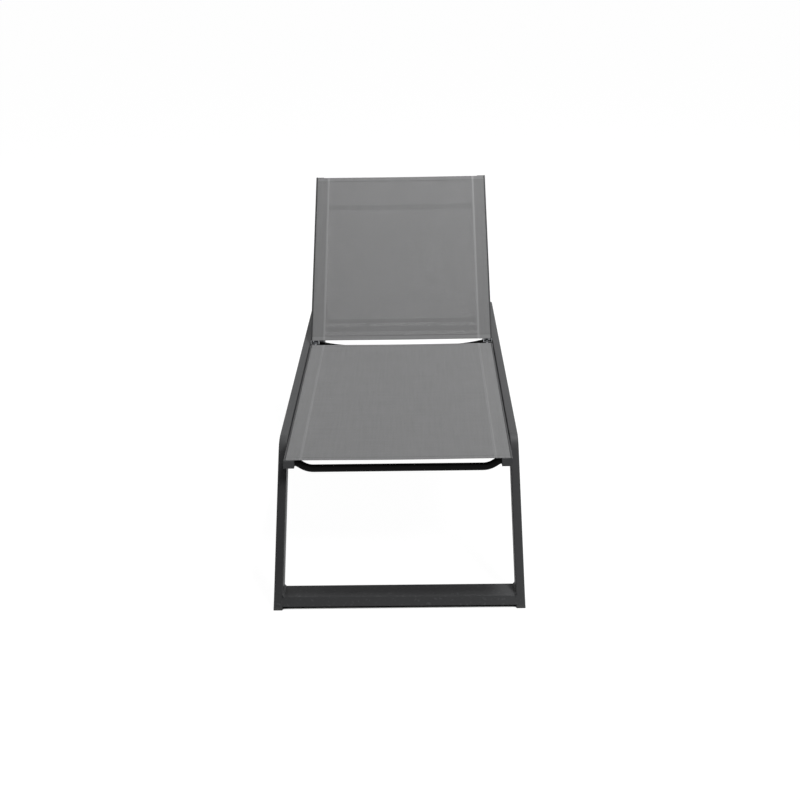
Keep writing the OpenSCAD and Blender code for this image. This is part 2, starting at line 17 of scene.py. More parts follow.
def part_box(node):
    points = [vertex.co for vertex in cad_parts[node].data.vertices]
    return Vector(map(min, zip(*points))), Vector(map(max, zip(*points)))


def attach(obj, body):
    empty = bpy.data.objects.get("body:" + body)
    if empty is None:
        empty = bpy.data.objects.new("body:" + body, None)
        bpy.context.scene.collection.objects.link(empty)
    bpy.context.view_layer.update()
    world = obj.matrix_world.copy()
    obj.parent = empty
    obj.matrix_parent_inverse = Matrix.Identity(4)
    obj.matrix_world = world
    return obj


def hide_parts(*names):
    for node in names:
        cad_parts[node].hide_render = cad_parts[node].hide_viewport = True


MM = 0.001
bpy.context.scene.view_settings.view_transform = "Standard"

# %% [markdown]
# ## The camera
# The photograph was taken from a little above the foot end. Its place comes from a fit of a
# pinhole camera to the edges of the tubes and slings. The axes are built from three angles, so
# that each can be read and changed alone, which a bare matrix would not allow.

# %% Camera
PITCH, YAW, ROLL = (math.radians(a) for a in (20.79, 0.95, -1.03))
EYE = Vector((0.0648, -4.2142, 1.8240))
FOCAL_PIXELS = 1300
PICTURE_PIXELS = 800
SENSOR_WIDTH = 36

forward = Vector((
    -math.sin(YAW) * math.cos(PITCH), math.cos(YAW) * math.cos(PITCH), -math.sin(PITCH)))
level = Vector((math.cos(YAW), math.sin(YAW), 0))
upright = level.cross(forward)
right = math.cos(ROLL) * level + math.sin(ROLL) * upright
up = -math.sin(ROLL) * level + math.cos(ROLL) * upright

camera = bpy.data.objects.new("camera", bpy.data.cameras.new("camera"))
bpy.context.scene.collection.objects.link(camera)
camera.data.sensor_width = SENSOR_WIDTH
camera.data.lens = SENSOR_WIDTH * FOCAL_PIXELS / PICTURE_PIXELS
facing = Matrix((right, up, -forward)).transposed().to_4x4()
camera.matrix_world = Matrix.Translation(EYE) @ facing
bpy.context.scene.camera = camera
print("camera lens in mm:", round(camera.data.lens, 2))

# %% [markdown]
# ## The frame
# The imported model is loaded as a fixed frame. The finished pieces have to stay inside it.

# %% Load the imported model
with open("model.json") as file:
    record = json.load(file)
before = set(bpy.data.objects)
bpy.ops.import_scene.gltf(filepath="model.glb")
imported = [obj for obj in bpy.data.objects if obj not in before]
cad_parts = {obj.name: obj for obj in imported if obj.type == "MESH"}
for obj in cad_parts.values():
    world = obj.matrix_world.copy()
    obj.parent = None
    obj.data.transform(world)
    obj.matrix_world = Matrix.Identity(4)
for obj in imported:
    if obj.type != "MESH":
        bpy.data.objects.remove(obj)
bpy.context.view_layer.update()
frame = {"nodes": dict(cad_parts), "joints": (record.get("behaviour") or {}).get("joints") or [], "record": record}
record = frame["record"]
body_of_node = {n: b for b, ns in record["behaviour"]["bodies"].items() for n in ns}
recline = next(j for j in frame["joints"] if j["name"] == "recline")
HINGE = Vector(recline["pos_m"])
print("nodes:", len(frame["nodes"]), "hinge axis:", tuple(HINGE))

# %% [markdown]
# ## Node helpers
# Every finish is a small tree of nodes that reads the piece's own coordinates, so a pattern
# stays put when the backrest turns. Small helpers keep the trees short: the first starts a
# material, the second adds a node with its settings and its links in one line, and the rest
# are built on that one.

# %% Material helpers
def start_finish(name):
    """A new material with its node tree and its Principled shader."""
    material = bpy.data.materials.new(name)
    material.use_nodes = True
    return material, material.node_tree, material.node_tree.nodes["Principled BSDF"]


def add(tree, kind, inputs=None, **settings):
    """A new node; an input that is given a socket is linked to it, any other is set."""
    made = tree.nodes.new(kind)
    for key, value in settings.items():
        setattr(made, key, value)
    for key, value in (inputs or {}).items():
        if isinstance(value, bpy.types.NodeSocket):
            tree.links.new(value, made.inputs[key])
        else:
            made.inputs[key].default_value = value
    return made


def math_node(tree, operation, a, b=0.0):
    """One sum, product or other operation on sockets or numbers."""
    return add(tree, "ShaderNodeMath", {0: a, 1: b}, operation=operation).outputs[0]


def remap(tree, value, low, high, to_low, to_high):
    """A value stretched from one range to another and held at its ends."""
    return add(tree, "ShaderNodeMapRange", {
        "Value": value, "From Min": low, "From Max": high, "To Min": to_low, "To Max": to_high,
    }).outputs["Result"]


def noise(tree, place, scale, detail=2.0):
    """Soft noise; scale is in grains per metre."""
    return add(tree, "ShaderNodeTexNoise", {
        "Vector": place, "Scale": scale, "Detail": detail,
    }).outputs["Fac"]


def shade_of(tree, factor, dark, light):
    """A colour between two, by a factor from 0 to 1."""
    ramp = add(tree, "ShaderNodeValToRGB", {"Fac": factor})
    ramp.color_ramp.elements[0].color = (*dark, 1)
    ramp.color_ramp.elements[1].color = (*light, 1)
    return ramp.outputs["Color"]


def tinted(colour, share):
    """The colour made lighter or darker by a share."""
    return tuple(c * share for c in colour)


def add_bump(tree, shader, height, depth, strength=1.0):
    """Bump whose full height is depth, in metres."""
    bump = add(tree, "ShaderNodeBump", {"Height": height, "Distance": depth, "Strength": strength})
    tree.links.new(bump.outputs["Normal"], shader.inputs["Normal"])


# %% [markdown]
# ## Powder coat
# The tubes are sprayed with a dry powder that melts into a tough skin. Near to, it has a fine
# orange-peel texture and its tone drifts a little. The feet get scuffed on the floor, so the
# coat is given a few pale rubs below a height of 60 mm. Three noises and one height ramp do it.

# %% Powder coat
SCUFF_FULL, SCUFF_NONE = 8 * MM, 60 * MM
MIX_A, MIX_B, MIX_RESULT = 6, 7, 2  # the colour sockets of a Mix node, which share their names


def powder_coat(name, colour, roughness, gloss):
    """A sprayed coat with a drifting tone, orange peel and a few rubs near the floor."""
    material, tree, shader = start_finish(name)
    place = add(tree, "ShaderNodeTexCoord").outputs["Object"]
    drift = remap(tree, noise(tree, place, 5, 3), 0.3, 0.7, 0, 1)
    grain = noise(tree, place, 700, 2)
    tone = math_node(tree, "ADD", math_node(tree, "MULTIPLY", drift, 0.6),
                     math_node(tree, "MULTIPLY", grain, 0.4))
    coat = shade_of(tree, tone, tinted(colour, 0.86), tinted(colour, 1.14))
    height = add(tree, "ShaderNodeSeparateXYZ", {"Vector": place}).outputs["Z"]
    near_floor = remap(tree, height, SCUFF_FULL, SCUFF_NONE, 1, 0)
    rubs = remap(tree, noise(tree, place, 120, 4), 0.58, 0.7, 0, 0.35)
    worn = math_node(tree, "MULTIPLY", near_floor, rubs)
    mixed = add(tree, "ShaderNodeMix", {
        "Factor": worn, MIX_A: coat, MIX_B: (*tinted(colour, 3.0), 1)}, data_type="RGBA")
    tree.links.new(mixed.outputs[MIX_RESULT], shader.inputs["Base Color"])
    dull = remap(tree, drift, 0, 1, roughness - 0.04, roughness + 0.05)
    tree.links.new(dull, shader.inputs["Roughness"])
    shader.inputs["Specular IOR Level"].default_value = gloss
    add_bump(tree, shader, grain, 0.12 * MM, 0.5)
    return material


COAT = (0.050, 0.0506, 0.0524)
# Black for the front spreader; on the cross tie, hidden under the backrest, it is painted shade.
COAT_DARK = (0.004, 0.004, 0.0042)
frame_coat = powder_coat("powder_coat_anthracite", COAT, 0.50, 0.16)
black_and_shaded_tube_coat = powder_coat("powder_coat_black_and_painted_shade", COAT_DARK, 0.6, 0.09)
prop_coat = powder_coat("powder_coat_prop", tinted(COAT, 0.8), 0.55, 0.2)

# %% [markdown]
# ## Plastic, rubber, metal and thread
# The small pieces share three recipes. Moulded plastic has a fine spark-eroded grain. Turned
# and rolled metal has streaks along one axis, made by noise that is squeezed across it. Thread
# is a twisted strand, whose twist is a wave along its piece.

# %% Plastic, rubber, metal and thread
def moulded(name, colour, roughness, grain_scale=1400, depth=0.05 * MM):
    """Plastic or rubber out of a spark-eroded mould."""
    material, tree, shader = start_finish(name)
    place = add(tree, "ShaderNodeTexCoord").outputs["Object"]
    grain = noise(tree, place, grain_scale, 3)
    drift = remap(tree, noise(tree, place, 25, 2), 0.3, 0.7, 0, 1)
    tree.links.new(shade_of(tree, drift, tinted(colour, 0.85), tinted(colour, 1.15)),
                   shader.inputs["Base Color"])
    tree.links.new(remap(tree, grain, 0.3, 0.7, roughness - 0.06, roughness + 0.06),
                   shader.inputs["Roughness"])
    add_bump(tree, shader, grain, depth, 0.6)
    return material


def rolled_metal(name, colour, roughness, along=(4, 700, 700)):
    """Bare metal with streaks along the axis whose scale is small."""
    material, tree, shader = start_finish(name)
    place = add(tree, "ShaderNodeTexCoord").outputs["Object"]
    squeezed = add(tree, "ShaderNodeMapping", {"Vector": place, "Scale": along}).outputs["Vector"]
    streaks = noise(tree, squeezed, 1, 3)
    tree.links.new(shade_of(tree, streaks, tinted(colour, 0.8), tinted(colour, 1.15)),
                   shader.inputs["Base Color"])
    tree.links.new(remap(tree, streaks, 0.3, 0.7, roughness - 0.08, roughness + 0.1),
                   shader.inputs["Roughness"])
    shader.inputs["Metallic"].default_value = 1.0
    add_bump(tree, shader, streaks, 0.03 * MM, 0.5)
    return material


def twisted_thread(name, colour):
    """Sewing thread or tape, with its twist."""
    material, tree, shader = start_finish(name)
    place = add(tree, "ShaderNodeTexCoord").outputs["Object"]
    twist = add(tree, "ShaderNodeTexWave", {
        "Vector": place, "Scale": 900, "Distortion": 1.5,
    }, bands_direction="DIAGONAL").outputs["Fac"]
    tree.links.new(shade_of(tree, twist, tinted(colour, 0.75), tinted(colour, 1.15)),
                   shader.inputs["Base Color"])
    shader.inputs["Roughness"].default_value = 0.75
    add_bump(tree, shader, twist, 0.08 * MM, 0.6)
    return material


glide_black = moulded("glide_plastic", (0.004, 0.004, 0.004), 0.6)
cap_grey = moulded("cap_plastic", (0.030, 0.031, 0.033), 0.55)
rod_plastic = moulded("edge_rod_plastic", (0.012, 0.012, 0.012), 0.5)
nylon = moulded("nylon", (0.55, 0.55, 0.52), 0.4)
buffer_rubber = moulded("buffer_rubber", (0.008, 0.008, 0.008), 0.8, 900, 0.08 * MM)
stainless = rolled_metal("stainless_steel", (0.5, 0.5, 0.51), 0.35)
mill_aluminium = rolled_metal("mill_aluminium", (0.42, 0.43, 0.45), 0.42, (700, 4, 700))
hem_thread = twisted_thread("hem_thread", (0.10, 0.10, 0.105))
seam_thread = twisted_thread("seam_thread", (0.23, 0.23, 0.235))
tag_black = twisted_thread("tag_weave", (0.012, 0.012, 0.012))

# %% [markdown]
# ## Sling mesh
# The fabric is woven from round polyester yarns with a PVC skin. Two families of yarns cross
# over and under each other and leave small square holes, so a bar behind the sling shows as a
# faint dark band. The UV map is in metres, so the weave has its real pitch of about 1.3 mm.
# A yarn is the arch of a sine wave, a checker of two slower waves says which family lies on
# top, and a hole is where both arches are low; the height of the arches also lightens the
# crowns, as painted shade in the weave's hollows. Bands in the same map make the pressed seams,
# the double layer outside them, and the hems with their sewing line. Painted highlight lightens
# the seams and hems, and painted shade darkens the fold at each end.

# %% Sling mesh
WARP = 1.3 * MM
WEFT = 1.15 * MM
MESH = (0.209, 0.210, 0.212)
HEM = 20 * MM
HEM_SEWN = HEM - 2 * MM
SEAM_HALF, SEAM_SOFT = 3.4 * MM, 2.5 * MM
HOLE = 0.335  # a hole is where both arches are lower than this
STREAKS_LENGTHWISE, STREAKS_CROSSWISE = (170, 6, 1), (7, 150, 1)


def yarn(tree, along, pitch):
    """The height of one family of yarns, 0 between two and 1 on top, and its slow wave."""
    slow = math_node(tree, "SINE", math_node(tree, "MULTIPLY", along, math.pi / pitch))
    return math_node(tree, "ABSOLUTE", slow), slow


def band(tree, value, middle, half, soft=0.8 * MM):
    """1 where a value is within half of a middle, with soft ends, else 0."""
    off = math_node(tree, "ABSOLUTE", math_node(tree, "SUBTRACT", value, middle))
    return remap(tree, off, half - soft / 2, half + soft / 2, 1, 0)


def weighted(tree, *parts):
    """The sum of several sockets, each times its share."""
    total = 0.0
    for socket, share in parts:
        total = math_node(tree, "ADD", math_node(tree, "MULTIPLY", socket, share), total)
    return total


def sling_mesh(name, length, seam_at, seam_highlight_gain, hem_highlight_gain):
    """The woven mesh of one sling; the gains are painted highlights on its seams and hems."""
    material, tree, shader = start_finish(name)
    uv = add(tree, "ShaderNodeUVMap", uv_map="weave").outputs["UV"]
    axes = add(tree, "ShaderNodeSeparateXYZ", {"Vector": uv})
    across, along = axes.outputs["X"], axes.outputs["Y"]
    warp, warp_wave = yarn(tree, across, WARP)
    weft, weft_wave = yarn(tree, along, WEFT)
    over = remap(tree, math_node(tree, "MULTIPLY", warp_wave, weft_wave), -0.15, 0.15, 0, 1)
    under = math_node(tree, "SUBTRACT", 1.0, over)
    height = math_node(tree, "ADD", math_node(tree, "MULTIPLY", warp, over),
                       math_node(tree, "MULTIPLY", weft, under))

    from_middle = math_node(tree, "ABSOLUTE", across)
    from_end = math_node(tree, "SUBTRACT", length / 2, math_node(
        tree, "ABSOLUTE", math_node(tree, "SUBTRACT", along, length / 2)))
    seam = band(tree, from_middle, seam_at, SEAM_HALF, SEAM_SOFT)
    side = remap(tree, from_middle, seam_at + 2 * MM, seam_at + 4 * MM, 0, 1)
    # painted shade: the last 2.5 mm darken where the end turns under
    fold = remap(tree, from_end, 0.5 * MM, 2.5 * MM, 1, 0)
    sewn = band(tree, from_end, HEM_SEWN, 1.5 * MM)
    hem = remap(tree, from_end, HEM - 4 * MM, HEM - 3 * MM, 1, 0)

    solid = math_node(tree, "MAXIMUM", math_node(tree, "MAXIMUM", warp, weft), seam)
    tree.links.new(remap(tree, solid, HOLE - 0.03, HOLE + 0.03, 0, 1), shader.inputs["Alpha"])

    place = add(tree, "ShaderNodeTexCoord").outputs["Object"]
    lengthwise, crosswise = (
        noise(tree, add(tree, "ShaderNodeMapping", {"Vector": uv, "Scale": scale}).outputs[0], 1, 2)
        for scale in (STREAKS_LENGTHWISE, STREAKS_CROSSWISE))
    # The yarn height lightens the crowns as painted shade in the hollows; the seam and hem gains are painted
    # highlights, and the fold is painted shade.
    tone = weighted(
        tree, (lengthwise, 0.22), (crosswise, 0.20), (noise(tree, place, 14, 3), 0.10),
        (height, 0.16), (seam, seam_highlight_gain), (side, 0.02), (hem, hem_highlight_gain), (sewn, -0.14),
        (fold, -0.10))
    tree.links.new(shade_of(tree, tone, tinted(MESH, 0.62), tinted(MESH, 1.38)),
                   shader.inputs["Base Color"])
    tree.links.new(remap(tree, seam, 0, 1, 0.68, 0.5), shader.inputs["Roughness"])
    shader.inputs["Specular IOR Level"].default_value = 0.3
    bumped = math_node(tree, "MULTIPLY", height, remap(tree, seam, 0, 1, 1, 0.25))
    add_bump(tree, shader, bumped, 0.22 * MM, 0.7)
    return material


# %% [markdown]
# ## Piece helpers
# A finished piece is a mesh whose object sits at the origin. It is smooth except at edges
# sharper than a given angle, and it rides on the CAD body whose nodes it stands for.

# %% Piece helpers
NEAR = 0.05 * MM


def finish_piece(name, shape, material, body, nodes=(), sharp=35, bevel=0.0, second=None):
    """Turns a bmesh into a shown piece on a body; nodes are the CAD nodes it stands for."""
    mesh = bpy.data.meshes.new(name)
    shape.to_mesh(mesh)
    shape.free()
    mesh.shade_smooth()
    mesh.set_sharp_from_angle(angle=math.radians(sharp))
    piece = bpy.data.objects.new(name, mesh)
    bpy.context.scene.collection.objects.link(piece)
    mesh.materials.append(material)
    if second:
        mesh.materials.append(second)
    if bevel:
        edge = piece.modifiers.new("rounded_edges", "BEVEL")
        edge.width = bevel
        edge.segments = 2
        edge.limit_method = "ANGLE"
        edge.angle_limit = math.radians(40)
    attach(piece, body)
    if nodes:
        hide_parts(*nodes)
    return piece


def merged_copy(*nodes):
    """A bmesh of CAD nodes with their loose triangles joined and flat faces made whole."""
    shape = bmesh.new()
    for node in nodes:
        shape.from_mesh(frame["nodes"][node].data)
    bmesh.ops.remove_doubles(shape, verts=shape.verts, dist=1e-6)
    bmesh.ops.dissolve_limit(shape, angle_limit=math.radians(0.4), verts=shape.verts,
                             edges=shape.edges)
    return shape


def pull(shape, edges, move):
    """Extrudes edges and moves them; gives the new edges and the new points."""
    grown = bmesh.ops.extrude_edge_only(shape, edges=edges)["geom"]
    points = [g for g in grown if isinstance(g, bmesh.types.BMVert)]
    bmesh.ops.translate(shape, verts=points, vec=move)
    return [g for g in grown if isinstance(g, bmesh.types.BMEdge)], points


def dress(node, material, bevel=0.5 * MM):
    """The CAD node's own shape as a smooth piece with rounded edges."""
    finish_piece("dressed_" + node, merged_copy(node), material, body_of_node[node],
                 [node], bevel=bevel)


# %% [markdown]
# ## Rails and their caps
# The slings hang in two pairs of extruded rails. The die gives their outer top edge a round
# corner, which catches the light beside the mesh, so it is bevelled here with a real radius.
# The rails are cut to length after coating, and at the hinge, where they have no caps, the
# bare metal of the cut shows.

# %% Rails and caps
RAIL_OUT_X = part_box("seat_rail_right")[1].x
RAIL_H = 25 * MM
CHAMBER_MID = 7.5 * MM
seat_start, seat_end = (corner.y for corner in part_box("seat_rail_right"))
rail_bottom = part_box("seat_rail_right")[0].z
seat_place = Matrix.Translation((0, 0, rail_bottom))
recline_rest = math.radians(-recline["range_deg"][0])
back_place = (Matrix.Translation(HINGE) @ Matrix.Rotation(recline_rest, 4, "X")
              @ Matrix.Translation((0, 0, -CHAMBER_MID)))


def rounded_rail(node, place, radius, bare_end=None):
    """A rail or cap with a round outer top edge; bare_end is a y where the cut metal shows."""
    shape = merged_copy(node)
    bmesh.ops.transform(shape, matrix=place.inverted(), verts=shape.verts)
    corner = [e for e in shape.edges if all(
        abs(v.co.x) > RAIL_OUT_X - NEAR and v.co.z > RAIL_H - NEAR for v in e.verts)]
    bmesh.ops.bevel(shape, geom=corner, offset=radius, affect="EDGES", segments=5, profile=0.5,
                    material=-1)
    if bare_end is not None:
        for face in shape.faces:
            if abs(face.calc_center_median().y - bare_end) < NEAR:
                face.material_index = 1
    bmesh.ops.transform(shape, matrix=place, verts=shape.verts)
    is_cap = "cap" in node
    print(node, "round edges:", len(corner))
    finish_piece("rounded_" + node, shape, cap_grey if is_cap else frame_coat, body_of_node[node],
                 [node], bevel=0.35 * MM,
                 second=None if bare_end is None else mill_aluminium)


BACK_START = 24 * MM
BACK_LENGTH = 731 * MM
EDGE_R = 3.5 * MM
for side in ("left", "right"):
    rounded_rail("seat_rail_" + side, seat_place, EDGE_R, seat_end)
    rounded_rail("back_rail_" + side, back_place, EDGE_R, BACK_START)
    rounded_rail("seat_end_cap_" + side, seat_place, EDGE_R)
    rounded_rail("back_end_cap_" + side, back_place, EDGE_R)

# %% [markdown]
# ## Tubes and plates
# These shapes are right in CAD, so each is its own mesh again, joined and smoothed, with its
# sharp edges rounded by about half a millimetre. On bare CAD edges no light would catch, and
# the eye takes that for a drawing. The bent tubes get no bevel: their long edges are round.

# %% Rigid pieces with their own shape
for node in ("side_frame_left", "side_frame_right"):
    dress(node, frame_coat, 0.0)
# The cross tie is black as painted shade under the backrest; the front spreader is black.
for node in ("front_spreader", "cross_tie"):
    dress(node, black_and_shaded_tube_coat, 0.0)
for node in ("back_top_bar", "back_lower_bar", "prop_rod"):
    dress(node, prop_coat, 0.0)
for node in ("prop_arm_left", "prop_arm_right", "prop_tab_left", "prop_tab_right",
             "rack_left", "rack_right"):
    dress(node, frame_coat if body_of_node[node] != "prop" else prop_coat, 0.6 * MM)
for node in ("seat_tongue_left", "seat_tongue_right", "back_tongue_left", "back_tongue_right"):
    dress(node, mill_aluminium, 0.5 * MM)
for node in ("flat_buffer_left", "flat_buffer_right"):
    dress(node, buffer_rubber, 1.2 * MM)
for node in ("glide_front_left", "glide_front_right", "glide_rear_left", "glide_rear_right"):
    dress(node, glide_black, 0.8 * MM)
for node in ("seat_edge_rods", "back_edge_rods", "prop_rod_plugs", "seat_rail_spacers"):
    dress(node, rod_plastic, 0.3 * MM)
for node in ("hinge_washers", "prop_pivot_washers"):
    dress(node, nylon, 0.15 * MM)
for node in ("rivet_nuts", "hinge_nuts", "seat_tongue_screws", "back_tongue_screws"):
    dress(node, stainless, 0.25 * MM)

# %% [markdown]
# ## Floor bars
# The bar between two feet is welded to the legs and ground flush, so that bar and legs show
# one smooth face. The tube's long edges are round, though, and would leave a groove beside a
# bar that ends at the tube. Its ends are therefore moved 3 mm further out, into that groove,
# as the ground weld metal does on the real one. Where the bar's top meets the leg's inner
# side the weld is left as it is: a sloping fillet with the welder's ripples, drawn as a
# triangle and pulled along the joint in short steps.

# %% Floor bars
INSIDE_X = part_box("side_frame_right")[0].x
WELD_FILL = 3 * MM
WELD_STEPS = 24
RIPPLE = 0.35 * MM
FILLET_WIDE, FILLET_HIGH = 5.5 * MM, 6.5 * MM
SLOPE_IN, SLOPE_UP = 0.45, 0.35  # a point on the fillet's hollow slope, as shares of its sides

for node in ("front_floor_bar", "rear_floor_bar"):
    bar = merged_copy(node)
    ends = [v for v in bar.verts if abs(v.co.x) > INSIDE_X - 2 * NEAR]
    for v in ends:
        v.co.x += math.copysign(WELD_FILL, v.co.x)
    finish_piece("welded_" + node, bar, frame_coat, "frame", [node], bevel=0.8 * MM)
    print(node, "end corners moved:", len(ends))


def weld_fillet(shape, side, node, wide, high):
    """A rippled fillet along the joint between a bar's top and a leg's inner side."""
    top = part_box(node)[1]
    along = sorted({round(v.co.y, 6) for v in frame["nodes"][node].data.vertices
                    if v.co.z > top.z - 2 * NEAR})
    first, last = along[0], along[-1]
    corner_x = side * INSIDE_X
    ring = [shape.verts.new((corner_x + side * MM, first, top.z - MM)),
            shape.verts.new((corner_x - side * wide, first, top.z - MM)),
            shape.verts.new((corner_x - side * SLOPE_IN * wide, first, top.z + SLOPE_UP * high)),
            shape.verts.new((corner_x + side * MM, first, top.z + high))]
    edges = [shape.edges.new(pair) for pair in zip(ring, ring[1:] + ring[:1])]
    bmesh.ops.contextual_create(shape, geom=edges)
    for step in range(WELD_STEPS):
        edges, moved = pull(shape, edges, (0, (last - first) / WELD_STEPS, 0))
        swell = RIPPLE * (1 if step % 2 else -1)
        for v in moved:
            if abs(v.co.x) < INSIDE_X and v.co.z > top.z - 0.5 * MM:
                v.co.x -= side * swell
                v.co.z += swell
    bmesh.ops.contextual_create(shape, geom=edges)


fillets = bmesh.new()
for node in ("front_floor_bar", "rear_floor_bar"):
    for side in (-1, 1):
        weld_fillet(fillets, side, node, FILLET_WIDE, FILLET_HIGH)
bmesh.ops.recalc_face_normals(fillets, faces=fillets.faces)
finish_piece("floor_bar_welds", fillets, frame_coat, "frame", sharp=50)

# %% [markdown]
# ## Weld beads
# Every cross tube ends on a flat rail and is welded all round. A bead is a small circle that
# is spun about the tube's axis, and its thickness swells and shrinks in even ripples, one for
# each time the welder added metal.

# %% Weld beads round the tube ends
RIPPLES = 40
RIPPLE_SHARE = 0.12  # how much a bead swells in a ripple
BEAD_SUNK = 0.4  # how deep a bead's middle lies inside the tube's end, as a share of its radius


def weld_ring(shape, centre, axis, radius, bead, tall=1.0):
    """A rippled ring of weld metal about an axis; tall stretches it upwards."""
    axis = axis.normalized()
    outward = axis.orthogonal().normalized()
    start = centre + outward * radius
    turn = Matrix((outward, axis, outward.cross(axis))).transposed().to_4x4()
    made = bmesh.ops.create_circle(shape, segments=8, radius=bead,
                                   matrix=Matrix.Translation(start) @ turn)
    edges = list({e for v in made["verts"] for e in v.link_edges})
    before = set(shape.verts)
    bmesh.ops.spin(shape, geom=made["verts"] + edges, cent=centre, axis=axis,
                   angle=2 * math.pi, steps=2 * RIPPLES, use_merge=True)
    ring = (set(shape.verts) - before) | {v for v in made["verts"] if v.is_valid}
    side = axis.cross(outward)
    for v in ring:
        flat = (v.co - centre) - axis * (v.co - centre).dot(axis)
        spoke = centre + flat.normalized() * radius
        angle = math.atan2(flat.dot(side), flat.dot(outward))
        v.co = spoke + (v.co - spoke) * (1 + RIPPLE_SHARE * math.sin(angle * RIPPLES))
        v.co.z = centre.z + (v.co.z - centre.z) * tall


def tube_end_welds(name, nodes, body, bead, material):
    """One piece with a bead at both ends of each tube, as wide and tall as the tube's end."""
    shape = bmesh.new()
    for node in nodes:
        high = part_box(node)[1]
        ends = [v.co for v in frame["nodes"][node].data.vertices if v.co.x > high.x - NEAR]
        lowest = Vector([min(c[i] for c in ends) for i in range(3)])
        highest = Vector([max(c[i] for c in ends) for i in range(3)])
        middle, radius = (lowest + highest) / 2, (highest.y - lowest.y) / 2
        tall = (highest.z - lowest.z) / (highest.y - lowest.y)
        for side in (-1, 1):
            centre = Vector((side * (high.x - BEAD_SUNK * bead), middle.y, middle.z))
            weld_ring(shape, centre, Vector((1, 0, 0)), radius, bead, tall)
        print(node, "weld radius in mm:", round(radius / MM, 2), "tall:", round(tall, 3))
    bmesh.ops.recalc_face_normals(shape, faces=shape.faces)
    finish_piece(name, shape, material, body, sharp=60)


tube_end_welds("frame_tube_welds", ["front_spreader", "cross_tie"], "frame", 1.6 * MM,
               black_and_shaded_tube_coat)
tube_end_welds("back_bar_welds", ["back_top_bar", "back_lower_bar"], "backrest", 1.5 * MM,
               prop_coat)

# %% [markdown]
# ## Bolts
# The seat rails, racks, hinges and prop are held by button-head bolts. A head is the quarter
# profile of a dome, spun about the bolt's axis, and its hexagon socket is a circle of six
# sides that is inset and pushed in. CAD has plain cylinders here, which the bolts replace.

# %% Bolts with hexagon sockets
SMALL_BOLT = (5.5 * MM, 3.3 * MM, 3 * MM)  # radius and height of the head, radius of the shank
LARGE_BOLT = (6.5 * MM, 4 * MM, 4 * MM)
CHAMFER = 0.4 * MM
SOCKET_WIDE, SOCKET_DEEP, SOCKET_RIM = 0.45, 0.55, 1.12
DOME_STEPS = 6
BOLT_APART = 30 * MM  # points nearer than this belong to one bolt
RACK_THICK = 3 * MM


def button_bolt(shape, foot, inward, head_r, head_h, shank_r, shank_l):
    """One bolt: its head stands on foot, and its shank runs inward from there."""
    inward = inward.normalized()
    outward = inward.orthogonal().normalized()
    socket_r, socket_l = SOCKET_WIDE * head_r, SOCKET_DEEP * head_h
    rim_r = socket_r * SOCKET_RIM
    profile = [shape.verts.new(foot + inward * depth + outward * r) for depth, r in (
        (shank_l, 0), (shank_l, shank_r - CHAMFER), (shank_l - CHAMFER, shank_r),
        (0, shank_r), (0, head_r))]
    for i in range(1, DOME_STEPS + 1):
        angle = math.pi / 2 * i / DOME_STEPS
        r = rim_r + (head_r - rim_r) * math.cos(angle)
        profile.append(shape.verts.new(foot - inward * head_h * math.sin(angle) + outward * r))
    edges = [shape.edges.new(pair) for pair in zip(profile, profile[1:])]
    before = set(shape.verts)
    bmesh.ops.spin(shape, geom=profile + edges, cent=foot, axis=inward,
                   angle=2 * math.pi, steps=24, use_merge=True)
    spun = [v for v in shape.verts if v not in before or v in profile]
    bmesh.ops.remove_doubles(shape, verts=spun, dist=1e-7)
    rim = [e for e in shape.edges if e.is_boundary]
    top = foot - inward * head_h
    turn = Matrix((outward, outward.cross(inward), -inward)).transposed().to_4x4()
    six = bmesh.ops.create_circle(shape, segments=6, radius=socket_r, cap_ends=False,
                                  matrix=Matrix.Translation(top) @ turn)["verts"]
    hexagon = list({e for v in six for e in v.link_edges})
    bmesh.ops.bridge_loops(shape, edges=rim + hexagon)
    socket_floor = pull(shape, hexagon, inward * socket_l)[0]
    bmesh.ops.contextual_create(shape, geom=socket_floor)


def bolt_places(node):
    """Each bolt of a node as its side, its middle y and z, and how far out it reaches."""
    groups = []
    source = merged_copy(node)
    for v in source.verts:
        side = 1 if v.co.x > 0 else -1
        near = next((g for g in groups if g["side"] == side
                     and abs(g["y"] / g["count"] - v.co.y) + abs(g["z"] / g["count"] - v.co.z)
                     < BOLT_APART), None)
        if near is None:
            near = {"side": side, "y": 0.0, "z": 0.0, "count": 0, "reach": 0.0}
            groups.append(near)
        near["y"] += v.co.y
        near["z"] += v.co.z
        near["count"] += 1
        near["reach"] = max(near["reach"], abs(v.co.x))
    source.free()
    return [(g["side"], g["y"] / g["count"], g["z"] / g["count"], g["reach"]) for g in groups]


def bolts_for(name, node, body, foot_x, size):
    """Replaces a node's plain bolts; foot_x is how far out their heads stand."""
    shape = bmesh.new()
    places = bolt_places(node)
    for side, y, z, reach in places:
        button_bolt(shape, Vector((side * foot_x, y, z)), Vector((side, 0, 0)), *size,
                    reach - foot_x)
    bmesh.ops.recalc_face_normals(shape, faces=shape.faces)
    print(name, "bolts:", len(places))
    finish_piece(name, shape, stainless, body, [node], sharp=30)


rack_bolts_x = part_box("rack_right")[1].x - RACK_THICK
bolts_for("seat_rail_bolt_set", "seat_rail_bolts", "frame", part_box("seat_rail_right")[0].x,
          SMALL_BOLT)
bolts_for("rack_bolt_set", "rack_bolts", "frame", rack_bolts_x, SMALL_BOLT)
bolts_for("prop_bolt_set", "prop_pivot_bolts", "prop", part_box("prop_arm_right")[0].x, LARGE_BOLT)
for side in ("left", "right"):
    bolts_for(f"hinge_bolt_{side}", f"hinge_pin_{side}", "frame",
              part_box("seat_tongue_right")[0].x, LARGE_BOLT)

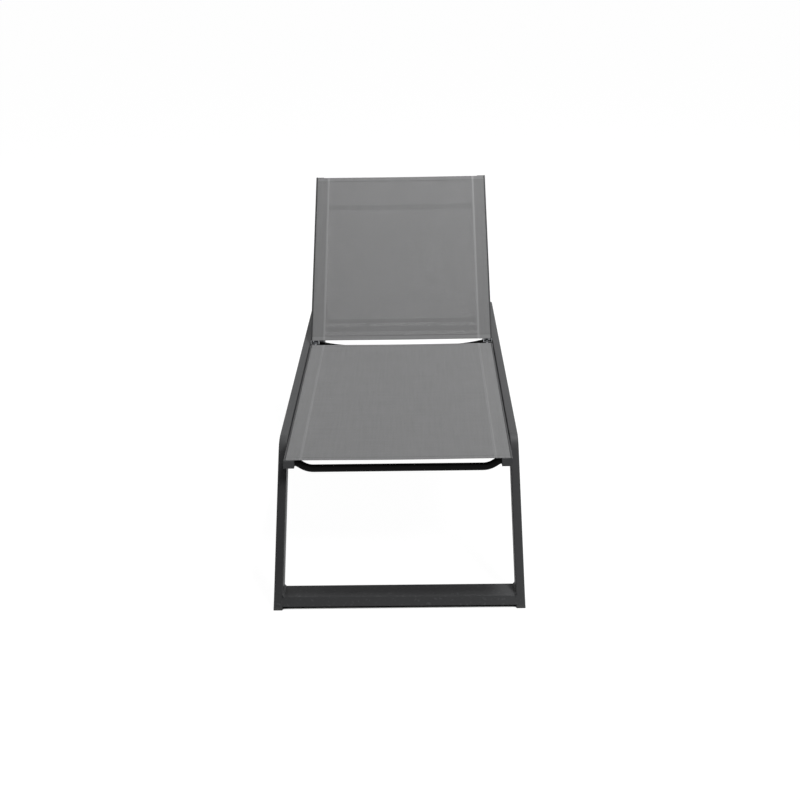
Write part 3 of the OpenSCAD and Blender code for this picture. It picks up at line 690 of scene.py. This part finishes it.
# %% [markdown]
# ## The slings
# Each sling is one cut of mesh. It runs from a pocket round a plastic rod, up through the slot
# in the rail, across to the other rail and into the pocket there, and its edge is folded back
# under itself and sewn about 45 mm in. All of that is one line in cross-section, so the line
# is drawn once and pulled along the rails with an extrusion, step by step. Solidify gives it
# the yarns' thickness. A simulation would add nothing here: the mesh is stretched tight.

# %% The line across a sling
CLOTH = 0.6 * MM  # from one layer to the next
YARN = 0.17 * MM  # the thickness that Solidify gives a layer
CRISP = 0.5 * MM  # a short first and last step, so that the ends' shading stays at the ends
SHELF = 23.6 * MM
LOW, HIGH = SHELF + 0.5 * CLOTH, SHELF + 1.5 * CLOTH
FLAP_ENDS, SHEET_STARTS = 0.295, 0.300
LOW_BEND, HIGH_BEND = 0.9 * MM, 1.1 * MM
SLOT_HALF = 0.55 * MM
CHANNEL = Vector((RAIL_OUT_X - 6.1 * MM, 0, 18.3 * MM))
SEAM_X = 275 * MM
SEAM_RISE = 0.3 * MM
SEAM_FOOT, SEAM_TOP = 3 * MM, 1 * MM  # half the width of the raised seam, below and on top
SAG = 1.2 * MM
LOOP_R = 2.75 * MM
HALF_SPANS = 10
SLING_STEPS = 24


def arc(cx, cz, r, start, end, steps):
    """Points on an arc, angles in degrees from sideways to up."""
    angles = [math.radians(start + (end - start) * i / steps) for i in range(steps + 1)]
    return [(cx + r * math.cos(a), cz + r * math.sin(a)) for a in angles]


def sag_at(x):
    """How far the mesh hangs below its edges at a distance x from the middle."""
    return SAG * math.cos(math.pi / 2 * min(1, abs(x) / SEAM_X)) ** 2


def sling_line():
    """The whole cross-section of a sling from its left fold to its right one, as (x, z)."""
    inner, outer = CHANNEL.x - SLOT_HALF, CHANNEL.x + SLOT_HALF
    half = [(SEAM_X, LOW), (FLAP_ENDS, LOW)]
    half += arc(inner - LOW_BEND, LOW - LOW_BEND, LOW_BEND, 90, 0, 3)
    half += arc(CHANNEL.x, CHANNEL.z, LOOP_R, 102, 438, 16)
    half += arc(outer - HIGH_BEND, HIGH - HIGH_BEND, HIGH_BEND, 0, 90, 4)
    half += [(SHEET_STARTS, HIGH), (SEAM_X + SEAM_FOOT, HIGH),
             (SEAM_X + SEAM_TOP, HIGH + SEAM_RISE), (SEAM_X - SEAM_TOP, HIGH + SEAM_RISE),
             (SEAM_X - SEAM_FOOT, HIGH)]
    for i in range(1, HALF_SPANS + 1):
        x = (SEAM_X - SEAM_FOOT) * (1 - i / HALF_SPANS)
        half.append((x, HIGH - sag_at(x)))
    left = [(-x, z) for x, z in half[:-1]]
    return left + half[::-1]


def stretch(name, start, length, place):
    """Pulls the line along +Y from start and gives it a UV map in metres."""
    shape = bmesh.new()
    run = shape.verts.layers.float.new("run")
    line = sling_line()
    verts, walked = [], 0.0
    for i, (x, z) in enumerate(line):
        if i:
            walked += math.dist(line[i - 1], (x, z))
        verts.append(shape.verts.new((x, start, z)))
        verts[-1][run] = walked
    middle = walked / 2
    for v in verts:
        v[run] -= middle
    edges = [shape.edges.new(pair) for pair in zip(verts, verts[1:])]
    for move in [CRISP, *[(length - 2 * CRISP) / SLING_STEPS] * SLING_STEPS, CRISP]:
        edges = pull(shape, edges, (0, move, 0))[0]
    weave = shape.loops.layers.uv.new("weave")
    for face in shape.faces:
        for corner in face.loops:
            corner[weave].uv = (corner.vert[run], corner.vert.co.y - start)
    bmesh.ops.recalc_face_normals(shape, faces=shape.faces)
    bmesh.ops.transform(shape, matrix=place, verts=shape.verts)
    print(name, "cut width in mm:", round(walked / MM, 1))
    return shape, walked


# %% [markdown]
# ## Hems
# At its two ends a sling is folded under by 20 mm and sewn. The folded flap is a strip under
# the sheet with a rounded edge at the very end, and a row of stitches holds it. A stitch is a
# small stretched bead, sunk half into the mesh, one every 4 mm.

# %% Hem strips and stitches
STITCH = 4 * MM
STITCH_SHARE = 0.40  # half a stitch's length, as a share of the space from one to the next
HEM_THREAD, SEAM_THREAD = 0.45 * MM, 0.6 * MM
HEM_ROW_INSET, SEAM_ROW_INSET = 4 * MM, 1 * MM
HEM_COLUMNS = 24


def hem_strip(end, toward, start, place, half_width):
    """The flap under one end of a sling: a line with a round end, pulled across the sling."""
    shape = bmesh.new()
    round_r = CLOTH / 2
    turned = arc(0, (LOW + HIGH) / 2, round_r, 90, -90, 6)
    line = [(end + toward * (round_r - across), z) for across, z in turned]
    line.append((end + toward * HEM, LOW))
    verts = [shape.verts.new((-half_width, y, z)) for y, z in line]
    edges = [shape.edges.new(pair) for pair in zip(verts, verts[1:])]
    for _ in range(HEM_COLUMNS):
        edges = pull(shape, edges, (2 * half_width / HEM_COLUMNS, 0, 0))[0]
    for v in shape.verts:
        v.co.z -= sag_at(v.co.x)
    weave = shape.loops.layers.uv.new("weave")
    for face in shape.faces:
        for corner in face.loops:
            corner[weave].uv = (corner.vert.co.x, corner.vert.co.y - start)
    bmesh.ops.recalc_face_normals(shape, faces=shape.faces)
    bmesh.ops.transform(shape, matrix=place, verts=shape.verts)
    return shape


def stitch_rows(starts, run, lift, place, size):
    """Equal rows of stitches: each row's first stitch is copied in doubles until it is full."""
    shape = bmesh.new()
    count = int(run.length / STITCH)
    pitch = run / count
    turn = run.to_track_quat("X", "Z").to_matrix().to_4x4()
    scale = Matrix.Diagonal((STITCH_SHARE * STITCH, size, size, 1))
    for x, y in starts:
        spot = Vector((x, y, lift)) + pitch / 2
        bmesh.ops.create_uvsphere(shape, u_segments=6, v_segments=4, radius=1.0,
                                  matrix=Matrix.Translation(spot) @ turn @ scale)
    sizes = [len(part) for part in (shape.verts, shape.edges, shape.faces)]
    made = 1
    while made < count:
        more = min(made, count - made)
        parts = [shape.verts[:], shape.edges[:], shape.faces[:]]
        source = [g for part, size_one in zip(parts, sizes) for g in part[:more * size_one]]
        grown = bmesh.ops.duplicate(shape, geom=source)["geom"]
        bmesh.ops.translate(shape, verts=[g for g in grown if isinstance(g, bmesh.types.BMVert)],
                            vec=pitch * made)
        made += more
    for v in shape.verts:
        v.co.z -= sag_at(v.co.x)
    bmesh.ops.transform(shape, matrix=place, verts=shape.verts)
    return shape


def soft_piece(name, shape, material, body, nodes=(), thickness=0.0):
    """A piece of a sling; a thickness gives a sheet its two sides."""
    piece = finish_piece(name, shape, material, body, nodes, sharp=80)
    if thickness:
        wall = piece.modifiers.new("yarn_thickness", "SOLIDIFY")
        wall.thickness = thickness
        wall.offset = 0
    return piece


def make_sling(name, start, length, place, body, node, seam_highlight_gain, hem_highlight_gain):
    """A sling with its hems and its stitches."""
    shape, width = stretch(name, start, length, place)
    cloth = sling_mesh(name + "_mesh", length, SEAM_X, seam_highlight_gain, hem_highlight_gain)
    sheet = soft_piece(name, shape, cloth, body, [node], YARN)
    for side, end, toward in (("lower", start, 1), ("upper", start + length, -1)):
        strip = hem_strip(end, toward, start, place, SEAM_X - SEAM_TOP)
        soft_piece(f"{name}_{side}_hem", strip, cloth, body, thickness=YARN)
    top = HIGH + YARN / 2
    row_start = HEM_ROW_INSET - SEAM_X
    hem_rows = [(row_start, start + HEM_SEWN), (row_start, start + length - HEM_SEWN)]
    threads = stitch_rows(hem_rows, Vector((-2 * row_start, 0, 0)), top, place, HEM_THREAD)
    row = soft_piece(name + "_hem_stitches", threads, hem_thread, body)
    seam_rows = [(-SEAM_X, start + SEAM_ROW_INSET), (SEAM_X, start + SEAM_ROW_INSET)]
    seams = stitch_rows(seam_rows, Vector((0, length - 2 * SEAM_ROW_INSET, 0)),
                        top + SEAM_RISE, place, SEAM_THREAD)
    seam_row = soft_piece(name + "_seam_stitches", seams, seam_thread, body)


# Both slings are one fabric; the back's larger gains paint more highlight on its seams and hems.
make_sling("seat_fabric", seat_start, seat_end - seat_start, seat_place, "frame", "seat_sling",
           seam_highlight_gain=0.10, hem_highlight_gain=0.02)
make_sling("back_fabric", BACK_START, BACK_LENGTH, back_place, "backrest", "back_sling",
           seam_highlight_gain=0.34, hem_highlight_gain=0.22)

# %% [markdown]
# ## The blank tag
# A small black tag is sewn behind the back sling. It shows through the mesh as a darker spot.
# It is a strip of tape folded once, left blank.

# %% Blank tag
tag = merged_copy("sewn_tag")
bmesh.ops.subdivide_edges(tag, edges=tag.edges, cuts=2, use_grid_fill=True)
tag_piece = finish_piece("blank_tag", tag, tag_black, "backrest", ["sewn_tag"],
                         bevel=0.15 * MM)

# %% [markdown]
# ## Floor, backdrop and light
# The photograph is cut out on white. The floor glows white for the camera and in reflections,
# and is a plain grey for the light that it sends back to the lounger. It takes a faint part
# of the shadow, and close under the bars and glides a painted contact shadow turns it black, as
# in the photograph, where a thin dark line is all that was kept of the floor. Ambient occlusion
# finds that narrow gap and dims the glow there.

# %% Floor and world
FLOOR_GLOW = 0.98
FLOOR_FAINT = (0.12, 0.12, 0.12, 1)
FLOOR_GREY = (0.35, 0.35, 0.35, 1)
FLOOR_REACH = 30
CONTACT_SHADOW_REACH = 30 * MM
FILL = 0.08
WHITE = (1, 1, 1, 1)


def seen_by_eye(tree):
    """1 for rays that show the background itself, to the camera, in metal or through glass."""
    path = add(tree, "ShaderNodeLightPath")
    return math_node(tree, "MAXIMUM", path.outputs["Is Camera Ray"], math_node(
        tree, "MAXIMUM", path.outputs["Is Glossy Ray"], path.outputs["Is Transmission Ray"]))


floor_white = bpy.data.materials.new("floor_white")
floor_white.use_nodes = True
ground = floor_white.node_tree
ground.nodes.clear()
# Painted contact shadow: ambient occlusion dims the glow to black close under bars and glides.
contact_shadow_ao = add(ground, "ShaderNodeAmbientOcclusion", {"Distance": CONTACT_SHADOW_REACH}, samples=16).outputs["AO"]
outside_painted_shadow = remap(ground, contact_shadow_ao, 0.25, 0.6, 0, 1)
glow = add(ground, "ShaderNodeEmission", {
    "Color": WHITE, "Strength": math_node(ground, "MULTIPLY", outside_painted_shadow, FLOOR_GLOW)})
faint = add(ground, "ShaderNodeBsdfDiffuse", {"Color": FLOOR_FAINT})
white = add(ground, "ShaderNodeAddShader", {0: glow.outputs[0], 1: faint.outputs[0]})
dull = add(ground, "ShaderNodeBsdfDiffuse", {"Color": FLOOR_GREY})
both = add(ground, "ShaderNodeMixShader", {
    "Fac": seen_by_eye(ground), 1: dull.outputs[0], 2: white.outputs[0]})
ground_out = add(ground, "ShaderNodeOutputMaterial")
ground.links.new(both.outputs[0], ground_out.inputs["Surface"])

floor_shape = bmesh.new()
bmesh.ops.create_grid(floor_shape, x_segments=1, y_segments=1, size=FLOOR_REACH)
floor_mesh = bpy.data.meshes.new("floor")
floor_shape.to_mesh(floor_mesh)
floor_shape.free()
floor = bpy.data.objects.new("floor", floor_mesh)
bpy.context.scene.collection.objects.link(floor)
floor_mesh.materials.append(floor_white)

world = bpy.data.worlds.new("studio")
bpy.context.scene.world = world
world.use_nodes = True
sky = world.node_tree
sky.nodes.clear()
fill_light = add(sky, "ShaderNodeBackground", {"Color": WHITE, "Strength": FILL})
white_back = add(sky, "ShaderNodeBackground", {"Color": WHITE, "Strength": 1.0})
sky_mix = add(sky, "ShaderNodeMixShader", {
    "Fac": seen_by_eye(sky), 1: fill_light.outputs[0], 2: white_back.outputs[0]})
sky_out = add(sky, "ShaderNodeOutputWorld")
sky.links.new(sky_mix.outputs[0], sky_out.inputs["Surface"])

# %% [markdown]
# ## Lamps
# The shadows in the photograph tell where its lamps were. A wide one stands in front, high and
# to the right: it leaves the inner side of the right leg dark, and the left rail behind the
# hinge. A smaller one hangs behind and over the seat, whose shadow it throws on the floor bar
# and on the left leg, so that the right leg is the lighter one.

# %% Lamps
def soft_lamp(name, place, aim, size, power):
    """A round area lamp that shines from its place at a point; size in metres, power in watts."""
    lamp = bpy.data.objects.new(name, bpy.data.lights.new(name, "AREA"))
    lamp.data.shape = "DISK"
    lamp.data.size = size
    lamp.data.energy = power
    lamp.location = place
    lamp.rotation_euler = (Vector(aim) - Vector(place)).to_track_quat("-Z", "Y").to_euler()
    bpy.context.scene.collection.objects.link(lamp)


soft_lamp("front_lamp", (3.5, -4.0, 5.25), (0, -0.3, 0.3), 1.9, 168)
soft_lamp("rear_lamp", (0.95, 1.22, 4.7), (0, -0.2, 0.3), 0.9, 160)
